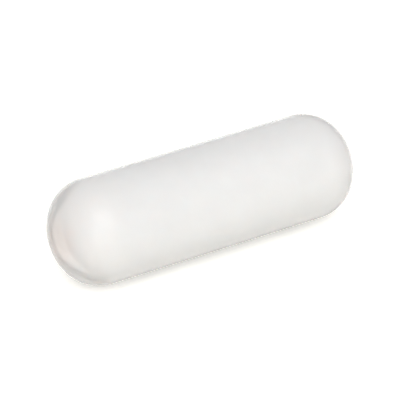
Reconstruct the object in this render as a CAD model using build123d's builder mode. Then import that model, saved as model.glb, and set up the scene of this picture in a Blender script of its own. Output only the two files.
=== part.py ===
"""Magnetic stir bar: a rod magnet sealed inside a smooth white PTFE jacket.

The bar lies along X, with its origin at the middle of its overall length.
The wall at the -X end is the thicker one. All sizes are in millimetres.
"""

import os

from build123d import *

# Jacket: a straight round barrel with crowned ends and well rounded shoulders
bar_length = 25.0
bar_diameter = 8.0
end_bulge = 2.3
shoulder_radius = 3.2

# Rod magnet with ball ends
core_diameter = 6.4

# PTFE between each tip of the magnet and the tip of the bar beyond it
thick_end_wall = 2.35
thin_end_wall = 1.2

# Gap all round between the magnet and the PTFE shrunk onto it
core_gap = 0.02

# Reach of the magnet along X
core_left = -bar_length / 2 + thick_end_wall
core_right = bar_length / 2 - thin_end_wall
core_length = core_right - core_left
core_middle = (core_left + core_right) / 2


# Lengthwise section of the jacket's outer shape: each end is an arc that
# stands out from the corners of the barrel, and the corners are rounded
corner_x = bar_length / 2 - end_bulge
corner_y = bar_diameter / 2
with BuildSketch() as bar_outline:
    with BuildLine():
        Line((-corner_x, corner_y), (corner_x, corner_y))
        SagittaArc((corner_x, corner_y), (corner_x, -corner_y), end_bulge)
        Line((corner_x, -corner_y), (-corner_x, -corner_y))
        SagittaArc((-corner_x, -corner_y), (-corner_x, corner_y), end_bulge)
    make_face()
    fillet(bar_outline.vertices(), radius=shoulder_radius)


# Jacket: one moulded and sintered solid, closed all round its pocket
with BuildPart() as ptfe_jacket:
    with BuildSketch(Plane.XY) as jacket_half_section:
        add(bar_outline.sketch)
        with Locations((core_middle, 0)):
            SlotOverall(
                core_length + 2 * core_gap,
                core_diameter + 2 * core_gap,
                mode=Mode.SUBTRACT,
            )
        split(bisect_by=Plane.XZ)
    revolve(axis=Axis.X)
ptfe_jacket.part.label = "ptfe_jacket"


# Core: the rod magnet, seated in the pocket
with BuildPart() as magnet_core:
    with BuildSketch(Plane.XY) as core_half_section:
        with Locations((core_middle, 0)):
            SlotOverall(core_length, core_diameter)
        split(bisect_by=Plane.XZ)
    revolve(axis=Axis.X)
magnet_core.part.label = "magnet_core"


os.makedirs("parts", exist_ok=True)
export_step(ptfe_jacket.part, "parts/ptfe_jacket.step")
export_step(magnet_core.part, "parts/magnet_core.step")
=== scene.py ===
"""Magnetic stir bar on a white table: surfaces, light and camera.

All lengths are in metres, in the frame of the CAD model: the bar lies along X
with its middle at the origin, and the thick wall of PTFE is at the -X end.
"""

import math

import bpy
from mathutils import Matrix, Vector


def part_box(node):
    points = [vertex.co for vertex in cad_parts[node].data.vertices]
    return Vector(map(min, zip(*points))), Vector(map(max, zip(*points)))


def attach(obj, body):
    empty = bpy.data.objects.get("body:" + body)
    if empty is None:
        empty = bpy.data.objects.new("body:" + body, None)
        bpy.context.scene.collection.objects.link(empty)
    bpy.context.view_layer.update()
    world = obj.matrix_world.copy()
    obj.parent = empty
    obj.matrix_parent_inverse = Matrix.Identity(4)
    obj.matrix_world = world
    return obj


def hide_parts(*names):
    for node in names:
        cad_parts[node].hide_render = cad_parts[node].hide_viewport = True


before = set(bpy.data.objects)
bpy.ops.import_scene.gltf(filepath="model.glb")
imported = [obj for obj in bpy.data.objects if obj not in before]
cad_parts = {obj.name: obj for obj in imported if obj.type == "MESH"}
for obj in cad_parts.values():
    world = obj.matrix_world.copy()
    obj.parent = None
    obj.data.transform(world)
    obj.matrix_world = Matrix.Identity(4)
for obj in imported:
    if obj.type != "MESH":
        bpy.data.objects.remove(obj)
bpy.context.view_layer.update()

# Form of the jacket's ends; the frame gives its length and diameter
END_BULGE = 0.0023
SHOULDER_RADIUS = 0.0032

# Fineness of the turned meshes
STEPS_AROUND = 256
STEPS_ON_CROWN = 40
STEPS_ON_SHOULDER = 40
STEPS_ON_BALL = 48
STEPS_ON_BARREL = 48

# Gap round the magnet in its pocket
CORE_GAP = 0.00002

# Tip of the plug of PTFE beyond the magnet, and where its painted shade (a darker, pinker base
# colour) has faded out
PLUG_TIP = -0.0125
PLUG_SHADE_FADE = -0.0116
# Painted shade: the darker, pinker colour that the plug's tip is multiplied by
PLUG_PAINTED_SHADE = (0.93, 0.86, 0.84)

# Camera: direction, distance and width of view at the bar
CAMERA_AZIMUTH = math.radians(-31.5)
CAMERA_ELEVATION = math.radians(30.16)
CAMERA_DISTANCE = 0.240
VIEW_WIDTH = 0.02955
CAMERA_SHIFT = (-0.0051, -0.0043)

# Table: its width, and the light it gives off where it is seen, so that it shows white
FLOOR_SIZE = 1.2
FLOOR_LIFT = 0.32

# Light from all round that falls on the bar and the table
WORLD_LIGHT = 0.82

# Jacket's skin: refractive index, share of clear PTFE, and what its depth takes from light
PTFE_IOR = 1.35
PTFE_CLEAR_SHARE = 0.6
PTFE_SCATTER_DEPTH = 0.001
PTFE_SCATTER_SPREAD = (1.0, 0.9, 0.85)
PTFE_DEPTH_COLOUR = (0.8, 0.74, 0.725, 1)
PTFE_DEPTH_DENSITY = 150.0


def new_object(name, mesh):
    """Add an object for a mesh to the scene."""
    made = bpy.data.objects.new(name, mesh)
    bpy.context.scene.collection.objects.link(made)
    return made


def direction(azimuth, elevation):
    """Unit vector from the bar towards a place seen at an azimuth and an elevation."""
    level = math.cos(elevation)
    return Vector((math.sin(azimuth) * level, -math.cos(azimuth) * level, math.sin(elevation)))


# ---------------------------------------------------------------- shapes

def crowned_end(radius, bulge, shoulder):
    """Points (x, r) of a crowned end, from the barrel to the tip, with the tip at x = 0."""
    crown = (radius ** 2 + bulge ** 2) / (2 * bulge)
    drop = math.sqrt((crown - shoulder) ** 2 - (radius - shoulder) ** 2)
    turn = math.atan2(radius - shoulder, drop)
    points = []
    for i in range(STEPS_ON_SHOULDER):
        angle = math.pi / 2 + (turn - math.pi / 2) * i / STEPS_ON_SHOULDER
        points.append((drop - crown + shoulder * math.cos(angle),
                       radius - shoulder + shoulder * math.sin(angle)))
    for i in range(STEPS_ON_CROWN):
        angle = turn * (1 - i / STEPS_ON_CROWN)
        points.append((crown * (math.cos(angle) - 1), crown * math.sin(angle)))
    return points


def ball_end(radius):
    """Points (x, r) of a ball end, from the barrel to the tip, with the tip at x = 0."""
    angles = [math.pi / 2 * (1 - i / STEPS_ON_BALL) for i in range(STEPS_ON_BALL)]
    return [(radius * (math.cos(angle) - 1), radius * math.sin(angle)) for angle in angles]


def turned_bar(name, start, end, tip):
    """Round bar along X from start to end, with both ends shaped like the tip's points."""
    left = [(start - x, r) for x, r in reversed(tip)]
    right = [(end + x, r) for x, r in tip]
    barrel_start, barrel_radius = left[-1]
    barrel_step = (right[0][0] - barrel_start) / STEPS_ON_BARREL
    barrel = [(barrel_start + barrel_step * i, barrel_radius) for i in range(1, STEPS_ON_BARREL)]
    rings = left + barrel + right
    vertices = [(start, 0, 0)]
    for x, r in rings:
        for i in range(STEPS_AROUND):
            angle = 2 * math.pi * i / STEPS_AROUND
            vertices.append((x, r * math.cos(angle), r * math.sin(angle)))
    vertices.append((end, 0, 0))
    last = len(vertices) - 1
    last_ring = last - STEPS_AROUND
    faces = []
    for i in range(STEPS_AROUND):
        following = (i + 1) % STEPS_AROUND
        faces.append((0, 1 + following, 1 + i))
        faces.append((last, last_ring + i, last_ring + following))
        for ring in range(len(rings) - 1):
            here = 1 + ring * STEPS_AROUND
            there = here + STEPS_AROUND
            faces.append((here + i, here + following, there + following, there + i))
    mesh = bpy.data.meshes.new(name)
    mesh.from_pydata(vertices, [], faces)
    mesh.validate()
    mesh.shade_smooth()
    return new_object(name, mesh)


def make_jacket():
    """The jacket's outer skin."""
    low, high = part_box("ptfe_jacket")
    radius = (high[2] - low[2]) / 2
    return turned_bar("jacket_skin", low[0], high[0],
                      crowned_end(radius, END_BULGE, SHOULDER_RADIUS))


def make_pocket_wall():
    """The jacket's inner face round the magnet, where the milky PTFE stops the eye."""
    low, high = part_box("magnet_core")
    radius = (high[2] - low[2]) / 2 + CORE_GAP
    return turned_bar("pocket_wall", low[0] - CORE_GAP, high[0] + CORE_GAP, ball_end(radius))


# ---------------------------------------------------------------- materials

class Nodes:
    """Short hand for building a material's node tree."""

    def __init__(self, name):
        self.material = bpy.data.materials.new(name)
        self.material.use_nodes = True
        self.tree = self.material.node_tree
        self.shader = self.tree.nodes["Principled BSDF"]
        self.output = self.tree.nodes["Material Output"]

    def add(self, kind, **inputs):
        """Add a node, with its inputs set by name, an underscore for each space."""
        node = self.tree.nodes.new(kind)
        for socket, value in inputs.items():
            node.inputs[socket.replace("_", " ")].default_value = value
        return node

    def link(self, source, target):
        """Join an output to an input."""
        self.tree.links.new(source, target)

    def place(self):
        """The object's own coordinates."""
        return self.add("ShaderNodeTexCoord").outputs["Object"]

    def noise(self, scale, detail):
        """Noise over the object; scale is in waves per metre."""
        node = self.add("ShaderNodeTexNoise", Scale=scale, Detail=detail, Roughness=0.5)
        self.link(self.place(), node.inputs["Vector"])
        return node.outputs["Fac"]

    def ramp(self, value, stops):
        """Map a value through colour stops, given as (place, (r, g, b))."""
        node = self.add("ShaderNodeValToRGB")
        elements = node.color_ramp.elements
        while len(elements) < len(stops):
            elements.new(0.5)
        for element, (place, colour) in zip(elements, stops):
            element.position = place
            element.color = (*colour, 1)
        self.link(value, node.inputs["Fac"])
        return node.outputs["Color"]

    def span(self, value, low, high):
        """Map a value from 0..1 to low..high."""
        node = self.add("ShaderNodeMapRange", To_Min=low, To_Max=high)
        self.link(value, node.inputs["Value"])
        return node.outputs["Result"]

    def near_end(self, tip, fade):
        """One at x = tip on the object, falling smoothly to zero at x = fade."""
        split = self.add("ShaderNodeSeparateXYZ")
        self.link(self.place(), split.inputs["Vector"])
        node = self.add("ShaderNodeMapRange", From_Min=tip, From_Max=fade, To_Min=1.0, To_Max=0.0)
        node.interpolation_type = "SMOOTHSTEP"
        self.link(split.outputs["X"], node.inputs["Value"])
        return node.outputs["Result"]

    def tinted(self, colour, amount, tint):
        """Multiply a colour by a tint, as far as amount says."""
        node = self.tree.nodes.new("ShaderNodeMix")
        node.data_type = "RGBA"
        node.blend_type = "MULTIPLY"
        factor, first, second = (
            next(socket for socket in node.inputs if socket.identifier == name)
            for name in ("Factor_Float", "A_Color", "B_Color"))
        self.link(amount, factor)
        self.link(colour, first)
        second.default_value = (*tint, 1)
        return next(socket for socket in node.outputs if socket.identifier == "Result_Color")

    def bump(self, height, distance):
        """Relief of a height value from 0..1, as deep as distance."""
        node = self.add("ShaderNodeBump", Strength=1.0, Distance=distance)
        self.link(height, node.inputs["Height"])
        return node


def ptfe_material():
    """Waxy white PTFE: milky, a little see-through, with a satin skin.

    The plug of PTFE beyond the magnet has no pocket wall close behind it, so its
    tip gets painted shade: its base colour is made darker and pinker there.
    """
    nodes = Nodes("ptfe")
    shader = nodes.shader
    white = nodes.ramp(nodes.noise(260, detail=2.0),
                       [(0.3, (0.925, 0.935, 0.933)), (0.7, (0.955, 0.965, 0.963))])
    # Painted shade: the base colour darkens and turns pinker towards the plug's near tip
    nodes.link(nodes.tinted(white, nodes.near_end(PLUG_TIP, PLUG_SHADE_FADE), PLUG_PAINTED_SHADE),
               shader.inputs["Base Color"])
    nodes.link(nodes.span(nodes.noise(2500, detail=4.0), 0.08, 0.12), shader.inputs["Roughness"])
    fine = nodes.bump(nodes.noise(9000, detail=2.0), 0.000002)
    broad = nodes.bump(nodes.noise(500, detail=1.0), 0.00003)
    nodes.link(broad.outputs["Normal"], fine.inputs["Normal"])
    nodes.link(fine.outputs["Normal"], shader.inputs["Normal"])
    shader.inputs["IOR"].default_value = PTFE_IOR
    shader.inputs["Transmission Weight"].default_value = PTFE_CLEAR_SHARE
    shader.inputs["Subsurface Weight"].default_value = 1.0
    shader.inputs["Subsurface Radius"].default_value = PTFE_SCATTER_SPREAD
    shader.inputs["Subsurface Scale"].default_value = PTFE_SCATTER_DEPTH
    volume = nodes.add("ShaderNodeVolumeAbsorption",
                       Color=PTFE_DEPTH_COLOUR, Density=PTFE_DEPTH_DENSITY)
    nodes.link(volume.outputs["Volume"], nodes.output.inputs["Volume"])
    return nodes.material


def pocket_material():
    """Milky white PTFE at the pocket, seen through the clearer skin."""
    nodes = Nodes("ptfe_milky")
    shader = nodes.shader
    cloud = nodes.ramp(nodes.noise(700, detail=4.0),
                       [(0.3, (0.94, 0.94, 0.94)), (0.7, (0.97, 0.97, 0.97))])
    nodes.link(cloud, shader.inputs["Base Color"])
    nodes.link(nodes.span(nodes.noise(4000, detail=4.0), 0.6, 0.8), shader.inputs["Roughness"])
    nodes.link(nodes.bump(nodes.noise(3000, detail=3.0), 0.00001).outputs["Normal"],
               shader.inputs["Normal"])
    shader.inputs["Specular IOR Level"].default_value = 0.1
    return nodes.material


def magnet_material():
    """Ground cast magnet alloy, dull grey."""
    nodes = Nodes("magnet_alloy")
    shader = nodes.shader
    tone = nodes.ramp(nodes.noise(900, detail=5.0),
                      [(0.3, (0.38, 0.38, 0.39)), (0.7, (0.46, 0.46, 0.47))])
    nodes.link(tone, shader.inputs["Base Color"])
    nodes.link(nodes.span(nodes.noise(4000, detail=4.0), 0.4, 0.6), shader.inputs["Roughness"])
    nodes.link(nodes.bump(nodes.noise(6000, detail=3.0), 0.00001).outputs["Normal"],
               shader.inputs["Normal"])
    shader.inputs["Metallic"].default_value = 1.0
    return nodes.material


def seen_by_eye(tree):
    """One where the camera sees a surface straight, mirrored or through glass, else zero."""
    path = tree.nodes.new("ShaderNodeLightPath")
    value = path.outputs["Is Camera Ray"]
    for kind in ("Is Glossy Ray", "Is Transmission Ray"):
        either = tree.nodes.new("ShaderNodeMath")
        either.operation = "MAXIMUM"
        tree.links.new(value, either.inputs[0])
        tree.links.new(path.outputs[kind], either.inputs[1])
        value = either.outputs[0]
    scattered = tree.nodes.new("ShaderNodeMath")
    scattered.operation = "GREATER_THAN"
    scattered.inputs[1].default_value = 0.5
    tree.links.new(path.outputs["Diffuse Depth"], scattered.inputs[0])
    direct = tree.nodes.new("ShaderNodeMath")
    direct.operation = "SUBTRACT"
    direct.use_clamp = True
    tree.links.new(value, direct.inputs[0])
    tree.links.new(scattered.outputs[0], direct.inputs[1])
    return direct.outputs[0]


def floor_material():
    """White table: it takes the bar's shadow, and shows white to the camera elsewhere."""
    nodes = Nodes("table_white")
    shader = nodes.shader
    shader.inputs["Base Color"].default_value = (0.91, 0.9, 0.86, 1)
    shader.inputs["Roughness"].default_value = 0.9
    shader.inputs["Specular IOR Level"].default_value = 0.0
    shader.inputs["Emission Color"].default_value = (1, 1, 1, 1)
    nodes.link(nodes.span(seen_by_eye(nodes.tree), 0.0, FLOOR_LIFT),
               shader.inputs["Emission Strength"])
    return nodes.material


# ---------------------------------------------------------------- stage

def make_floor():
    """Level table top that the bar lies on."""
    low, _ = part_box("ptfe_jacket")
    half = FLOOR_SIZE / 2
    corners = [(x, y, low[2]) for x, y in
               ((-half, -half), (half, -half), (half, half), (-half, half))]
    mesh = bpy.data.meshes.new("table")
    mesh.from_pydata(corners, [], [(0, 1, 2, 3)])
    floor = new_object("table", mesh)
    floor.data.materials.append(floor_material())


def make_world():
    """Even pale surroundings, white where they are seen."""
    world = bpy.data.worlds.new("studio")
    world.use_nodes = True
    tree = world.node_tree
    lighting = tree.nodes["Background"]
    lighting.inputs["Color"].default_value = (1, 1, 1, 1)
    lighting.inputs["Strength"].default_value = WORLD_LIGHT
    white = tree.nodes.new("ShaderNodeBackground")
    white.inputs["Color"].default_value = (1, 1, 1, 1)
    white.inputs["Strength"].default_value = 1.0
    mix = tree.nodes.new("ShaderNodeMixShader")
    tree.links.new(seen_by_eye(tree), mix.inputs["Fac"])
    tree.links.new(lighting.outputs[0], mix.inputs[1])
    tree.links.new(white.outputs[0], mix.inputs[2])
    tree.links.new(mix.outputs[0], tree.nodes["World Output"].inputs["Surface"])
    bpy.context.scene.world = world


def make_lamp(name, azimuth, elevation, distance, size, power, colour=(1, 1, 1)):
    """Square soft lamp that faces the bar; its angles are in degrees."""
    light = bpy.data.lights.new(name, "AREA")
    light.shape = "SQUARE"
    light.size = size
    light.energy = power
    light.color = colour
    lamp = bpy.data.objects.new(name, light)
    away = direction(math.radians(azimuth), math.radians(elevation))
    lamp.location = away * distance
    lamp.rotation_euler = away.to_track_quat("Z", "Y").to_euler()
    bpy.context.scene.collection.objects.link(lamp)


def make_camera():
    """Camera at the photograph's viewing angle."""
    data = bpy.data.cameras.new("camera")
    data.sensor_width = 36.0
    data.lens = data.sensor_width * CAMERA_DISTANCE / VIEW_WIDTH
    data.shift_x, data.shift_y = CAMERA_SHIFT
    data.clip_start = 0.01
    data.clip_end = 10.0
    camera = bpy.data.objects.new("camera", data)
    away = direction(CAMERA_AZIMUTH, CAMERA_ELEVATION)
    camera.location = away * CAMERA_DISTANCE
    camera.rotation_euler = away.to_track_quat("Z", "Y").to_euler()
    bpy.context.scene.collection.objects.link(camera)
    bpy.context.scene.camera = camera


make_camera()
make_world()
make_floor()
make_lamp("key", azimuth=-20, elevation=50, distance=0.5, size=0.4, power=1.25)
make_lamp("front", azimuth=-31, elevation=6, distance=0.5, size=0.3, power=0.75,
          colour=(1.0, 0.98, 0.94))

jacket = make_jacket()
jacket.data.materials.append(ptfe_material())
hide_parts("ptfe_jacket")
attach(jacket, "root")

pocket_wall = make_pocket_wall()
pocket_wall.data.materials.append(pocket_material())
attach(pocket_wall, "root")

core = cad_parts["magnet_core"]
core.data.materials.clear()
core.data.materials.append(magnet_material())

bpy.context.scene.view_settings.view_transform = "Standard"
